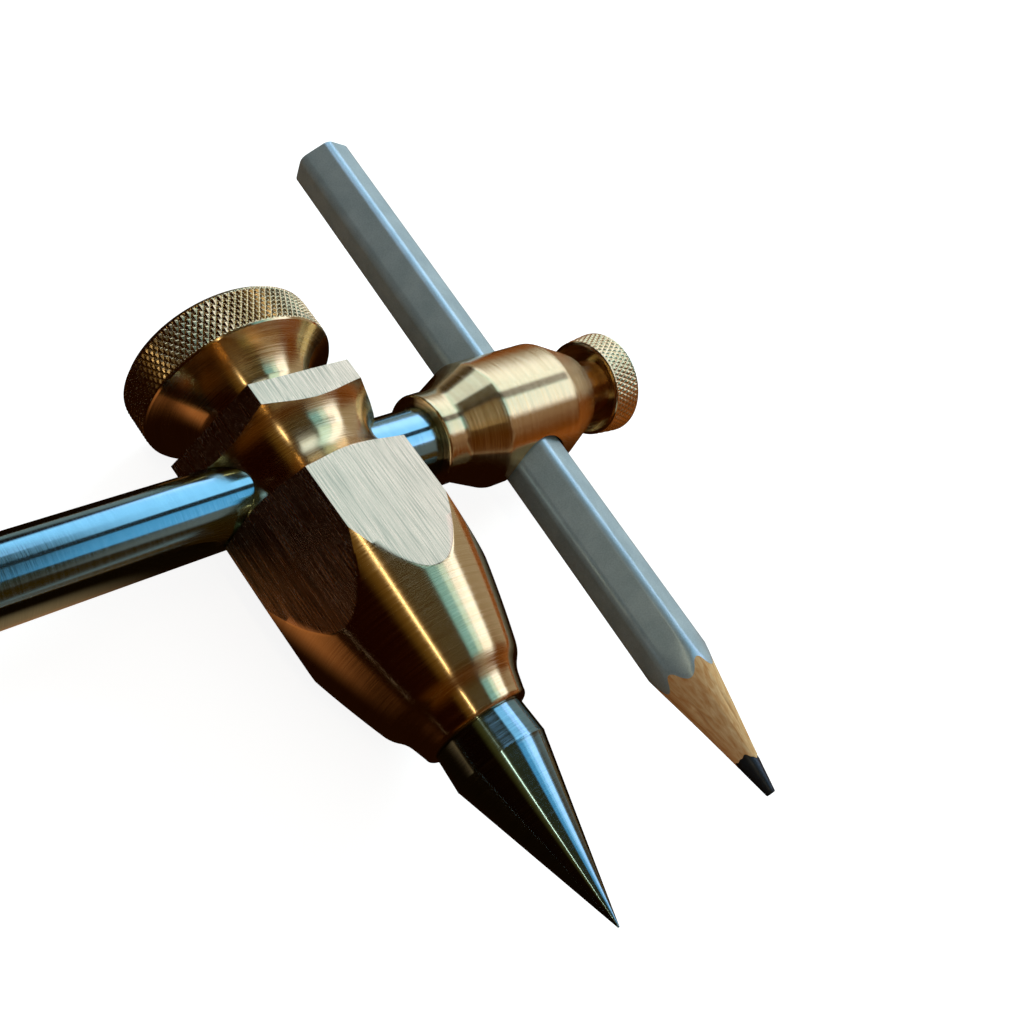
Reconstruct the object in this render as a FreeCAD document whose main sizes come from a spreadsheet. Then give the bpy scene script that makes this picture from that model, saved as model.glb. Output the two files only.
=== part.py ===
import FreeCAD, Part
import Sketcher
import math
import os

# Beam compass: a steel point in a hexagonal brass head that slides on a round steel beam,
# and a brass holder on the beam's end that carries a pencil.
# Millimetres. The origin is the tip of the steel point, the centre of every circle it draws.
# +X runs along the beam towards the pencil, +Y along the head towards its clamp knob, and +Z is up
# as the compass lies on its side, with one flat of the head facing up.

doc = FreeCAD.newDocument("BeamCompass")

# The driving dimensions. Heights of the head's pieces are counted from the tip of the point along
# the head's axis, and reaches of the holder's pieces from the head's axis along the beam.
SIZES = {
    "beam_height": 52.55,
    "beam_radius": 4.0,
    "beam_length": 300.0,
    "beam_reach": 22.4,
    "beam_chamfer": 0.6,
    "running_gap": 0.05,
    # head: hexagonal bar, its corners on the beam's axis
    "flat_distance": 10.0,
    "stock_radius": 14.0,
    "neck_end": 21.55,
    "lip_round": 0.6,
    "lip_radius": 5.6,
    "neck_radius": 6.0,
    "neck_top": 23.5,
    "shoulder_radius": 6.9,
    "shoulder_height": 25.05,
    "shoulder_curve": 3.5,
    "nose_low_radius": 7.6,
    "nose_low_height": 26.25,
    "nose_high_radius": 12.2,
    "nose_high_height": 44.5,
    "nose_curve": 130.0,
    "cove_drop": 0.35,
    "cove_ring_radius": 12.4,
    "cove_curve": 3.95,
    "flange_above_beam": 6.04,
    "boss_radius": 4.7,
    "boss_above_beam": 9.6,
    # steel point
    "tip_radius": 0.09,
    "point_break_radius": 4.89,
    "point_break_height": 17.9,
    "point_neck_radius": 4.72,
    "shank_radius": 3.0,
    "shank_length": 11.0,
    "shank_bore_depth": 12.0,
    # clamp knob, its stud and the shoe under the stud
    "stud_radius": 2.98,
    "stud_nose": 0.8,
    "stud_seat_radius": 3.0,
    "stud_seat_depth": 5.0,
    "shoe_gap": 0.3,
    "shoe_top_above_beam": 6.2,
    "shoe_foot_above_beam": 2.6,
    "skirt_radius": 6.65,
    "skirt_inside_radius": 5.1,
    "skirt_above_flange": 0.45,
    "skirt_length": 2.5,
    "seat_above_boss": 0.85,
    "bell_radius": 9.3,
    "bell_above_beam": 11.7,
    "bell_curve": 6.0,
    "knob_radius": 10.75,
    "knob_low_above_beam": 12.45,
    "knob_top_above_beam": 17.5,
    "knob_chamfer": 0.6,
    # pencil holder
    "holder_front": 15.2,
    "holder_front_bevel": 0.3,
    "collar_radius": 5.3,
    "collar_end": 17.9,
    "barrel_radius": 7.35,
    "barrel_start": 22.4,
    "barrel_end": 33.4,
    "holder_end_radius": 5.14,
    "holder_end": 38.3,
    "beam_socket_end": 22.6,
    "pencil_reach": 27.7,
    "pencil_bore_radius": 4.0,
    # set screw that keeps the holder on the beam's end, its tip in a groove round the beam
    "set_screw_reach": 20.3,
    "set_screw_radius": 1.5,
    "set_screw_head": 6.2,
    "set_screw_tip_radius": 0.8,
    "set_screw_cone": 4.6,
    "set_screw_socket_radius": 0.85,
    "set_screw_socket_depth": 1.2,
    "groove_depth": 0.5,
    "groove_half_width": 1.0,
    # thumb screw on the holder's end and the shoe that presses on the pencil
    "thumb_stud_radius": 2.48,
    "thumb_bore_radius": 2.55,
    "thumb_shoe_end": 33.5,
    "thumb_shoe_foot": 30.8,
    "thumb_saddle_radius": 4.1,
    "thumb_seat_radius": 2.5,
    "thumb_seat_end": 43.6,
    "thumb_hub_radius": 3.3,
    "thumb_hub_start": 38.9,
    "thumb_dish_depth": 1.5,
    "thumb_near": 41.6,
    "thumb_near_radius": 5.95,
    "thumb_lip": 0.45,
    "thumb_far": 45.1,
    "thumb_far_radius": 6.35,
    "thumb_end_bevel": 0.5,
    # pencil, heights counted from the tip of its lead
    "pencil_half_flat": 3.45,
    "pencil_corner": 1.4,
    "lacquer": 0.1,
    "lead_radius": 1.2,
    "lead_tip_radius": 0.5,
    "lead_cone": 3.7,
    "lead_foot": 3.0,
    "cone_outer_radius": 4.2,
    "cone_outer_height": 19.2,
    "pencil_length": 92.8,
    "pencil_below_beam": 51.9,
}
PENCIL_TILT_DEG = 3.75
PENCIL_CORNER_DEG = 21.0


def make_sheet():
    """Write the driving dimensions into a spreadsheet, one alias a row."""
    sheet = doc.addObject("Spreadsheet::Sheet", "Sizes")
    for row, (alias, number) in enumerate(SIZES.items(), start=1):
        sheet.set("A%d" % row, alias)
        sheet.set("B%d" % row, str(number))
        sheet.setAlias("B%d" % row, alias)
    doc.recompute()
    return sheet


def amount(terms):
    """The value in millimetres of a sum of sizes such as "beam_height - cove_below_beam"."""
    total = 0.0
    sign = 1.0
    for word in terms.split():
        if word in "+-":
            sign = 1.0 if word == "+" else -1.0
        else:
            total += sign * (SIZES[word] if word in SIZES else float(word))
    return total


def formula(terms):
    """The same sum as an expression on the spreadsheet's cells."""
    return " ".join("Sizes." + word if word in SIZES else word for word in terms.split())


def origin_plane(body, role):
    for feature in body.Origin.OriginFeatures:
        if feature.Role == role:
            return feature
    raise ValueError("no origin plane " + role)


def new_body(label):
    body = doc.addObject("PartDesign::Body", label)
    body.Label = label
    return body


def new_sketch(body, name, role, lift="0"):
    """A sketch on one of the body's own origin planes, lifted along that plane's normal."""
    sketch = body.newObject("Sketcher::SketchObject", name)
    sketch.AttachmentSupport = [(origin_plane(body, role), "")]
    sketch.MapMode = "FlatFace"
    if lift != "0":
        sketch.setExpression("AttachmentOffset.Base.z", formula(lift))
    return sketch


def arc_between(start, end, radius, side):
    """The short arc from start to end: side 1 bows to the left of the way, -1 to the right."""
    chord = end - start
    half = chord.Length / 2
    left = FreeCAD.Vector(-chord.y, chord.x, 0).normalize()
    centre = (start + end) / 2 - left * side * math.sqrt(radius * radius - half * half)
    # an arc is stored anticlockwise, so one that bows to the left is stored from its far end
    first, last = (end, start) if side > 0 else (start, end)
    ring = Part.Circle(centre, FreeCAD.Vector(0, 0, 1), radius)
    return Part.ArcOfCircle(ring, math.atan2(first.y - centre.y, first.x - centre.x),
                            math.atan2(last.y - centre.y, last.x - centre.x))


def hold_point(sketch, kind, terms, edge, end):
    """Hold a point of a sketch at a bound distance from the sketch's origin, or on its axis."""
    if terms == "0":
        axis = -2 if kind == "DistanceX" else -1
        sketch.addConstraint(Sketcher.Constraint("PointOnObject", edge, end, axis))
        return
    held = sketch.addConstraint(Sketcher.Constraint(kind, -1, 1, edge, end, amount(terms)))
    sketch.setExpression("Constraints[%d]" % held, formula(terms))


def outline(sketch, stops):
    """Close an outline through stops of (across, up) and hold each one by two bound dimensions.

    A third and fourth entry turn the run that leaves a stop into an arc: its radius and its side.
    """
    spots = [FreeCAD.Vector(amount(stop[0]), amount(stop[1]), 0) for stop in stops]
    count = len(stops)
    near_end = []
    far_end = []
    for index, stop in enumerate(stops):
        start = spots[index]
        end = spots[(index + 1) % count]
        bows_left = len(stop) > 2 and stop[3] > 0
        near_end.append(2 if bows_left else 1)
        far_end.append(1 if bows_left else 2)
        if len(stop) > 2:
            sketch.addGeometry(arc_between(start, end, amount(stop[2]), stop[3]), False)
        else:
            sketch.addGeometry(Part.LineSegment(start, end), False)
    for index in range(count):
        after = (index + 1) % count
        sketch.addConstraint(
            Sketcher.Constraint("Coincident", index, far_end[index], after, near_end[after]))
    for index, stop in enumerate(stops):
        for kind, terms in (("DistanceX", stop[0]), ("DistanceY", stop[1])):
            hold_point(sketch, kind, terms, index, near_end[index])
        if len(stop) > 2:
            held = sketch.addConstraint(Sketcher.Constraint("Radius", index, amount(stop[2])))
            sketch.setExpression("Constraints[%d]" % held, formula(stop[2]))


def circle(sketch, across, up, radius):
    """A circle in a sketch, its centre and radius bound to the sheet."""
    centre = FreeCAD.Vector(amount(across), amount(up), 0)
    ring = sketch.addGeometry(Part.Circle(centre, FreeCAD.Vector(0, 0, 1), amount(radius)), False)
    for kind, terms in (("DistanceX", across), ("DistanceY", up)):
        hold_point(sketch, kind, terms, ring, 3)
    held = sketch.addConstraint(Sketcher.Constraint("Radius", ring, amount(radius)))
    sketch.setExpression("Constraints[%d]" % held, formula(radius))


def turn(body, name, stops, feature="PartDesign::Revolution"):
    """Turn an outline of (radius, height) about the body's Z axis, as a solid or as a groove."""
    sketch = new_sketch(body, name + "Outline", "XZ_Plane")
    outline(sketch, stops)
    turned = body.newObject(feature, name)
    turned.Profile = sketch
    turned.ReferenceAxis = (sketch, ["V_Axis"])
    turned.Angle = 360.0
    sketch.Visibility = False
    return turned


def ring_cut(body, name, height, ring_radius, curve):
    """A cove turned round the body: a ring of round section, cut away."""
    ring = body.newObject("PartDesign::SubtractiveTorus", name)
    ring.AttachmentSupport = [(origin_plane(body, "XY_Plane"), "")]
    ring.MapMode = "FlatFace"
    ring.setExpression("AttachmentOffset.Base.z", formula(height))
    ring.setExpression("Radius1", formula(ring_radius))
    ring.setExpression("Radius2", formula(curve))
    return ring


def cut_volume(body, work):
    """Do the work and check that it took material off the body."""
    doc.recompute()
    before = body.Shape.Volume
    feature = work()
    doc.recompute()
    if not body.Shape.Volume < before - 0.01:
        raise ValueError(feature.Name + " cuts nothing from " + body.Label)
    return feature


def drill_down(body, name, radius, top, bottom):
    """A blind round hole down the body's Z axis from one height to a lower one."""
    def work():
        sketch = new_sketch(body, name + "Circle", "XY_Plane", top)
        circle(sketch, "0", "0", radius)
        pocket = body.newObject("PartDesign::Pocket", name)
        pocket.Profile = sketch
        pocket.setExpression("Length", "%s - (%s)" % (formula(top), formula(bottom)))
        return pocket
    return cut_volume(body, work)


def cross_hole(body, name, role, height, radius):
    """A round hole right through the body, square to one of its upright planes."""
    def work():
        sketch = new_sketch(body, name + "Circle", role)
        circle(sketch, "0", height, radius)
        pocket = body.newObject("PartDesign::Pocket", name)
        pocket.Profile = sketch
        pocket.Type = "ThroughAll"
        pocket.Midplane = True
        return pocket
    return cut_volume(body, work)


def frame_of(x_axis, y_axis, z_axis, base):
    """The placement that sends a piece's own axes to three directions of the whole part."""
    turned = FreeCAD.Rotation(FreeCAD.Vector(*x_axis), FreeCAD.Vector(*y_axis), FreeCAD.Vector(*z_axis), "ZXY")
    return FreeCAD.Placement(FreeCAD.Vector(*base), turned)


sheet = make_sheet()

# Where the pieces lie. The head's axis lies along +Y, the holder's along +X, and the holder is turned
# a little about the beam, which lifts the pencil's blunt end.
tilt = math.radians(PENCIL_TILT_DEG)
along_pencil = (0.0, math.cos(tilt), math.sin(tilt))
above_pencil = (0.0, -math.sin(tilt), math.cos(tilt))
HEAD_PLACE = frame_of((1, 0, 0), (0, 0, -1), (0, 1, 0), (0, 0, 0))
HOLDER_PLACE = frame_of(along_pencil, above_pencil, (1, 0, 0), (0, amount("beam_height"), 0))
BEAM_PLACE = frame_of((0, 1, 0), (0, 0, 1), (1, 0, 0),
                      (amount("beam_reach - beam_length"), amount("beam_height"), 0))
PENCIL_PLACE = frame_of((1, 0, 0), (0, math.sin(tilt), -math.cos(tilt)), along_pencil,
                        (amount("pencil_reach"),
                         amount("beam_height") - amount("pencil_below_beam") * math.cos(tilt),
                         -amount("pencil_below_beam") * math.sin(tilt)))


def make_head():
    """The hexagonal bar, turned to an ogive below, a cove round the beam and a boss on top."""
    body = new_body("head_body")
    bar = body.newObject("PartDesign::AdditivePrism", "HexagonBar")
    bar.AttachmentSupport = [(origin_plane(body, "XY_Plane"), "")]
    bar.MapMode = "FlatFace"
    bar.Polygon = 6
    bar.setExpression("AttachmentOffset.Base.z", formula("neck_end"))
    bar.setExpression("Circumradius", "Sizes.flat_distance / cos(30 deg)")
    bar.setExpression("Height", formula("beam_height + boss_above_beam - neck_end"))
    cut_volume(body, lambda: turn(body, "Ogive", [
        ("lip_radius - lip_round", "neck_end", "lip_round", -1),
        ("lip_radius", "neck_end + lip_round"),
        ("neck_radius", "neck_top", "shoulder_curve", 1),
        ("shoulder_radius", "shoulder_height", "shoulder_curve", -1),
        ("nose_low_radius", "nose_low_height", "nose_curve", -1),
        ("nose_high_radius", "nose_high_height"),
        ("stock_radius", "nose_high_height"),
        ("stock_radius", "neck_end"),
    ], "PartDesign::Groove"))
    cut_volume(body, lambda: ring_cut(body, "Cove", "beam_height - cove_drop",
                                      "cove_ring_radius", "cove_curve"))
    cut_volume(body, lambda: turn(body, "Boss", [
        ("boss_radius", "beam_height + flange_above_beam"),
        ("stock_radius", "beam_height + flange_above_beam"),
        ("stock_radius", "beam_height + boss_above_beam"),
        ("boss_radius", "beam_height + boss_above_beam"),
    ], "PartDesign::Groove"))
    cross_hole(body, "BeamBore", "YZ_Plane", "beam_height", "beam_radius + running_gap")
    drill_down(body, "ClampBore", "shank_radius + running_gap",
               "beam_height + boss_above_beam", "beam_height")
    drill_down(body, "PointBore", "shank_radius", "neck_end + shank_bore_depth", "neck_end")
    body.Placement = HEAD_PLACE
    return body


def make_point():
    """The hardened point: a long cone, a short waisted collar and a shank pressed into the head."""
    body = new_body("steel_point")
    turn(body, "Point", [
        ("0", "0"),
        ("tip_radius", "0"),
        ("point_break_radius", "point_break_height"),
        ("point_neck_radius", "neck_end"),
        ("shank_radius", "neck_end"),
        ("shank_radius", "neck_end + shank_length"),
        ("0", "neck_end + shank_length"),
    ])
    body.Placement = HEAD_PLACE
    return body


def make_knob():
    """The knurled clamp knob: a thick rim, a bell underneath and a skirt over the head's boss."""
    body = new_body("clamp_knob")
    skirt_foot = "beam_height + flange_above_beam + skirt_above_flange"
    seat = "beam_height + boss_above_beam + seat_above_boss"
    turn(body, "Knob", [
        ("0", seat + " + stud_seat_depth"),
        ("stud_seat_radius", seat + " + stud_seat_depth"),
        ("stud_seat_radius", seat),
        ("skirt_inside_radius", seat),
        ("skirt_inside_radius", skirt_foot),
        ("skirt_radius", skirt_foot),
        ("skirt_radius", skirt_foot + " + skirt_length", "bell_curve", 1),
        ("bell_radius", "beam_height + bell_above_beam"),
        ("knob_radius", "beam_height + knob_low_above_beam"),
        ("knob_radius", "beam_height + knob_top_above_beam - knob_chamfer"),
        ("knob_radius - knob_chamfer", "beam_height + knob_top_above_beam"),
        ("0", "beam_height + knob_top_above_beam"),
    ])
    body.Placement = HEAD_PLACE
    return body


def make_stud():
    """The steel stud pressed into the knob, its nose just above the shoe."""
    body = new_body("clamp_stud")
    foot = "beam_height + shoe_top_above_beam + running_gap"
    turn(body, "Stud", [
        ("0", foot),
        ("stud_radius - stud_nose", foot),
        ("stud_radius", foot + " + stud_nose"),
        ("stud_radius", "beam_height + boss_above_beam + seat_above_boss + stud_seat_depth"),
        ("0", "beam_height + boss_above_beam + seat_above_boss + stud_seat_depth"),
    ])
    body.Placement = HEAD_PLACE
    return body


def make_shoe():
    """The loose brass shoe under the stud, hollowed to sit on the round beam."""
    body = new_body("clamp_shoe")
    turn(body, "Slug", [
        ("0", "beam_height + shoe_foot_above_beam"),
        ("stud_radius", "beam_height + shoe_foot_above_beam"),
        ("stud_radius", "beam_height + shoe_top_above_beam"),
        ("0", "beam_height + shoe_top_above_beam"),
    ])
    cross_hole(body, "Saddle", "YZ_Plane", "beam_height", "beam_radius + shoe_gap")
    body.Placement = HEAD_PLACE
    return body


def make_beam():
    """The ground steel rod, bevelled at both ends, with a groove for the holder's set screw."""
    body = new_body("beam_rod")
    groove = "beam_length - beam_reach + set_screw_reach"
    turn(body, "Rod", [
        ("0", "0"),
        ("beam_radius - beam_chamfer", "0"),
        ("beam_radius", "beam_chamfer"),
        ("beam_radius", groove + " - groove_half_width"),
        ("beam_radius - groove_depth", groove + " - groove_half_width"),
        ("beam_radius - groove_depth", groove + " + groove_half_width"),
        ("beam_radius", groove + " + groove_half_width"),
        ("beam_radius", "beam_length - beam_chamfer"),
        ("beam_radius - beam_chamfer", "beam_length"),
        ("0", "beam_length"),
    ])
    body.Placement = BEAM_PLACE
    return body


def make_holder():
    """The pencil holder: a double-coned barrel on the beam's end with the pencil's bore across it."""
    body = new_body("holder_body")
    turn(body, "Barrel", [
        ("beam_radius + running_gap", "holder_front"),
        ("collar_radius - holder_front_bevel", "holder_front"),
        ("collar_radius", "holder_front + holder_front_bevel"),
        ("collar_radius", "collar_end"),
        ("barrel_radius", "barrel_start"),
        ("barrel_radius", "barrel_end"),
        ("holder_end_radius", "holder_end"),
        ("thumb_bore_radius", "holder_end"),
        ("thumb_bore_radius", "pencil_reach"),
        ("0", "pencil_reach"),
        ("0", "beam_socket_end"),
        ("beam_radius + running_gap", "beam_socket_end"),
    ])
    cross_hole(body, "PencilBore", "YZ_Plane", "pencil_reach", "pencil_bore_radius")

    def drill_for_screw():
        # the upright plane's normal points to -Y, which is the side that lies underneath
        sketch = new_sketch(body, "SetScrewCircle", "XZ_Plane")
        circle(sketch, "0", "set_screw_reach", "set_screw_radius")
        pocket = body.newObject("PartDesign::Pocket", "SetScrewHole")
        pocket.Profile = sketch
        pocket.Reversed = True
        pocket.setExpression("Length", formula("stock_radius"))
        return pocket
    cut_volume(body, drill_for_screw)
    body.Placement = HOLDER_PLACE
    return body


def make_set_screw():
    """A socket set screw through the holder's underside, its tip in the beam's groove."""
    body = new_body("set_screw")
    tip = "beam_radius - groove_depth + running_gap"
    turn(body, "Screw", [
        ("0", tip),
        ("set_screw_tip_radius", tip),
        ("set_screw_radius", "set_screw_cone"),
        ("set_screw_radius", "set_screw_head"),
        ("0", "set_screw_head"),
    ])

    def socket():
        sketch = new_sketch(body, "SocketHexagon", "XY_Plane", "set_screw_head")
        radius = amount("set_screw_socket_radius")
        corners = [FreeCAD.Vector(radius * math.cos(math.radians(60 * k)),
                                  radius * math.sin(math.radians(60 * k)), 0) for k in range(6)]
        for k in range(6):
            sketch.addGeometry(Part.LineSegment(corners[k], corners[(k + 1) % 6]), False)
        ring = sketch.addGeometry(Part.Circle(FreeCAD.Vector(), FreeCAD.Vector(0, 0, 1), radius), True)
        sketch.addConstraint(Sketcher.Constraint("Coincident", ring, 3, -1, 1))
        for k in range(6):
            sketch.addConstraint(Sketcher.Constraint("Coincident", k, 2, (k + 1) % 6, 1))
            sketch.addConstraint(Sketcher.Constraint("PointOnObject", k, 1, ring))
        for k in range(5):
            sketch.addConstraint(Sketcher.Constraint("Equal", k, k + 1))
        sketch.addConstraint(Sketcher.Constraint("PointOnObject", 0, 1, -1))
        held = sketch.addConstraint(Sketcher.Constraint("Radius", ring, radius))
        sketch.setExpression("Constraints[%d]" % held, formula("set_screw_socket_radius"))
        pocket = body.newObject("PartDesign::Pocket", "Socket")
        pocket.Profile = sketch
        pocket.setExpression("Length", formula("set_screw_socket_depth"))
        return pocket
    cut_volume(body, socket)
    outward = tuple(-part for part in above_pencil)
    body.Placement = frame_of((1, 0, 0), (0, outward[2], -outward[1]), outward,
                              (amount("set_screw_reach"), amount("beam_height"), 0))
    return body


def make_thumb_knob():
    """The thumb screw's head: a flared knurled rim, dished on the side towards the holder."""
    body = new_body("thumb_knob")
    turn(body, "ThumbKnob", [
        ("0", "thumb_seat_end"),
        ("thumb_seat_radius", "thumb_seat_end"),
        ("thumb_seat_radius", "thumb_hub_start"),
        ("thumb_hub_radius", "thumb_hub_start"),
        ("thumb_hub_radius", "thumb_near + thumb_dish_depth"),
        ("thumb_near_radius - thumb_lip", "thumb_near"),
        ("thumb_near_radius", "thumb_near"),
        ("thumb_far_radius", "thumb_far"),
        ("thumb_far_radius - thumb_end_bevel", "thumb_far + thumb_end_bevel"),
        ("0", "thumb_far + thumb_end_bevel"),
    ])
    body.Placement = HOLDER_PLACE
    return body


def make_thumb_stud():
    """The thumb screw's steel stud."""
    body = new_body("thumb_stud")
    turn(body, "ThumbStud", [
        ("0", "thumb_shoe_end + running_gap"),
        ("thumb_stud_radius - stud_nose", "thumb_shoe_end + running_gap"),
        ("thumb_stud_radius", "thumb_shoe_end + running_gap + stud_nose"),
        ("thumb_stud_radius", "thumb_seat_end"),
        ("0", "thumb_seat_end"),
    ])
    body.Placement = HOLDER_PLACE
    return body


def make_thumb_shoe():
    """The loose shoe between the thumb screw and the pencil, hollowed to the pencil's barrel."""
    body = new_body("thumb_shoe")
    turn(body, "ThumbSlug", [
        ("0", "thumb_shoe_foot"),
        ("thumb_stud_radius", "thumb_shoe_foot"),
        ("thumb_stud_radius", "thumb_shoe_end"),
        ("0", "thumb_shoe_end"),
    ])
    cross_hole(body, "ThumbSaddle", "YZ_Plane", "pencil_reach", "thumb_saddle_radius")
    body.Placement = HOLDER_PLACE
    return body


def six_sided_bar(body, name, half_flat, corner, foot, length):
    """A hexagonal bar with its long edges rounded, turned to the pencil's own angle."""
    bar = body.newObject("PartDesign::AdditivePrism", name)
    bar.AttachmentSupport = [(origin_plane(body, "XY_Plane"), "")]
    bar.MapMode = "FlatFace"
    bar.AttachmentOffset = FreeCAD.Placement(FreeCAD.Vector(0, 0, amount(foot)),
                                             FreeCAD.Rotation(FreeCAD.Vector(0, 0, 1), PENCIL_CORNER_DEG))
    bar.Polygon = 6
    bar.setExpression("AttachmentOffset.Base.z", formula(foot))
    bar.setExpression("Circumradius", "(%s) / cos(30 deg)" % formula(half_flat))
    bar.setExpression("Height", formula(length))
    doc.recompute()
    long_edges = ["Edge%d" % (index + 1) for index, edge in enumerate(bar.Shape.Edges)
                  if abs(edge.Length - amount(length)) < 1e-6]
    rounding = body.newObject("PartDesign::Fillet", name + "Corners")
    rounding.Base = (bar, long_edges)
    rounding.setExpression("Radius", formula(corner))
    doc.recompute()
    return rounding


def sharpen(body):
    """The cone that the sharpener cuts, deeper along the pencil's corners than on its flats."""
    return cut_volume(body, lambda: turn(body, "Sharpened", [
        ("lead_radius", "lead_cone"),
        ("cone_outer_radius", "cone_outer_height"),
        ("stock_radius", "cone_outer_height"),
        ("stock_radius", "lead_foot"),
        ("lead_radius", "lead_foot"),
    ], "PartDesign::Groove"))


def make_pencil():
    """The pencil in three pieces: lead, wood and the lacquer round the wood."""
    lead = new_body("pencil_lead")
    turn(lead, "Lead", [
        ("0", "0"),
        ("lead_tip_radius", "0"),
        ("lead_radius", "lead_cone"),
        ("lead_radius", "pencil_length - lacquer"),
        ("0", "pencil_length - lacquer"),
    ])
    wood = new_body("pencil_wood")
    six_sided_bar(wood, "Shaft", "pencil_half_flat - lacquer", "pencil_corner - lacquer",
                  "lead_cone", "pencil_length - lacquer - lead_cone")
    sharpen(wood)
    drill_down(wood, "LeadBore", "lead_radius", "pencil_length - lacquer", "lead_cone")
    skin = new_body("pencil_lacquer")
    shaft = six_sided_bar(skin, "Skin", "pencil_half_flat", "pencil_corner",
                          "lead_cone", "pencil_length - lead_cone")
    # hollowed from the end that the sharpener opens; the blunt end stays closed
    open_end = min(range(len(shaft.Shape.Faces)), key=lambda k: shaft.Shape.Faces[k].CenterOfMass.z)
    hollow = skin.newObject("PartDesign::Thickness", "Hollow")
    hollow.Base = (shaft, ["Face%d" % (open_end + 1)])
    hollow.Reversed = True
    hollow.Mode = "Skin"
    hollow.Join = "Arc"
    hollow.setExpression("Value", formula("lacquer"))
    doc.recompute()
    sharpen(skin)
    for body in (lead, wood, skin):
        body.Placement = PENCIL_PLACE
    return [lead, wood, skin]


bodies = [
    make_head(),
    make_point(),
    make_knob(),
    make_stud(),
    make_shoe(),
    make_beam(),
    make_holder(),
    make_set_screw(),
    make_thumb_knob(),
    make_thumb_stud(),
    make_thumb_shoe(),
]
bodies += make_pencil()
doc.recompute()

for item in doc.Objects:
    if "Invalid" in item.State or "Error" in item.State:
        raise ValueError("not computed: " + item.Name)
os.makedirs("parts", exist_ok=True)
for body in bodies:
    shape = body.Shape
    if shape.isNull() or not shape.isValid() or len(shape.Solids) != 1:
        raise ValueError("bad solid: %s, %d solids" % (body.Label, len(shape.Solids)))
for body in bodies:
    body.Shape.exportStep("parts/%s.step" % body.Label)
    print(body.Label, round(body.Shape.Volume, 2), body.Shape.BoundBox)
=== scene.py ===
# %% [markdown]
# A beam compass draws large circles. A brass head with a steel point slides along a round steel beam,
# and a brass holder on the beam's end carries a pencil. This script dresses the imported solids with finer
# surfaces of the same sizes, which are in millimetres here and become metres when a mesh is made.
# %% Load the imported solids
import bpy
import bmesh
import math
import numpy as np
from mathutils import Matrix, Vector


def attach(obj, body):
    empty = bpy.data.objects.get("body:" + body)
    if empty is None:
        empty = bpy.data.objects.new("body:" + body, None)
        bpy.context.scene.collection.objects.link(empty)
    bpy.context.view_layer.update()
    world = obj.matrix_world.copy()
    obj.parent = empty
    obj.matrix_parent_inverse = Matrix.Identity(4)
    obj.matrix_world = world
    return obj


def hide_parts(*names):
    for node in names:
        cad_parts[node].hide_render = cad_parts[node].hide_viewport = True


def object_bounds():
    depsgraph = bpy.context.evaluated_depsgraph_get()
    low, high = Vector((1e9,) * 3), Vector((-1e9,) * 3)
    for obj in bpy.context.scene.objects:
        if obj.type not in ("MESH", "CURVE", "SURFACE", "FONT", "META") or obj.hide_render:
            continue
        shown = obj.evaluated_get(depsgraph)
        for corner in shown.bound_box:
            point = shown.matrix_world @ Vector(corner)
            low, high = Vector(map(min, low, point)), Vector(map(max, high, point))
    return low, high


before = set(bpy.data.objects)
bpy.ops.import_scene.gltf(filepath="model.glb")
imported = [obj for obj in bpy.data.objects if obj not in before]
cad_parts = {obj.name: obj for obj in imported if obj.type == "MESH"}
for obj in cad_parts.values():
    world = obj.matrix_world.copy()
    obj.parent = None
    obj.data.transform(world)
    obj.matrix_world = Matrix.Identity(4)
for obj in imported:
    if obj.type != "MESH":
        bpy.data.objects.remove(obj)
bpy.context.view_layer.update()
print("nodes:", sorted(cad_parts))

# %% [markdown]
# The head's axis lies along +Y from the tip of its point, and the beam's axis crosses it. The holder and
# the pencil are turned a little about the beam. Each piece is worked out about its own axis and then set
# in place by one of these matrices, whose columns are the piece's own directions.
# %% Where the pieces lie
MM = 0.001
BEAM_HEIGHT = 52.55
PENCIL_REACH = 27.7
PENCIL_BELOW_BEAM = 51.9
PENCIL_TILT = math.radians(3.75)


def placement(x_axis, y_axis, z_axis, base):
    """The 4 x 4 matrix whose columns are three directions and a base point in millimetres."""
    matrix = np.eye(4)
    matrix[:3, 0] = x_axis
    matrix[:3, 1] = y_axis
    matrix[:3, 2] = z_axis
    matrix[:3, 3] = base
    return matrix


along_pencil = np.array([0.0, math.cos(PENCIL_TILT), math.sin(PENCIL_TILT)])
above_pencil = np.array([0.0, -math.sin(PENCIL_TILT), math.cos(PENCIL_TILT)])
beam_centre = np.array([0.0, BEAM_HEIGHT, 0.0])
pencil_tip = beam_centre + [PENCIL_REACH, 0.0, 0.0] - along_pencil * PENCIL_BELOW_BEAM
HEAD = placement([1, 0, 0], [0, 0, -1], [0, 1, 0], [0, 0, 0])
HOLDER = placement(along_pencil, above_pencil, [1, 0, 0], beam_centre)
BEAM = placement([0, 1, 0], [0, 0, 1], [1, 0, 0], beam_centre)
PENCIL = placement([1, 0, 0], -above_pencil, along_pencil, pencil_tip)
print("pencil tip at", np.round(pencil_tip, 2), "mm")

# %% [markdown]
# Every new piece is a grid of points: rows up the profile and columns round the axis. The grid carries a
# UV map named grain, in metres, whose u runs across the tool marks and v along them. The metals read it
# both for the fine lines of the marks and for the direction in which they stretch a highlight.
# %% Grids to meshes
SHARP_EDGE = math.radians(28)
SAME_PLACE = 2e-7
NO_LENGTH = 1e-7


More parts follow.
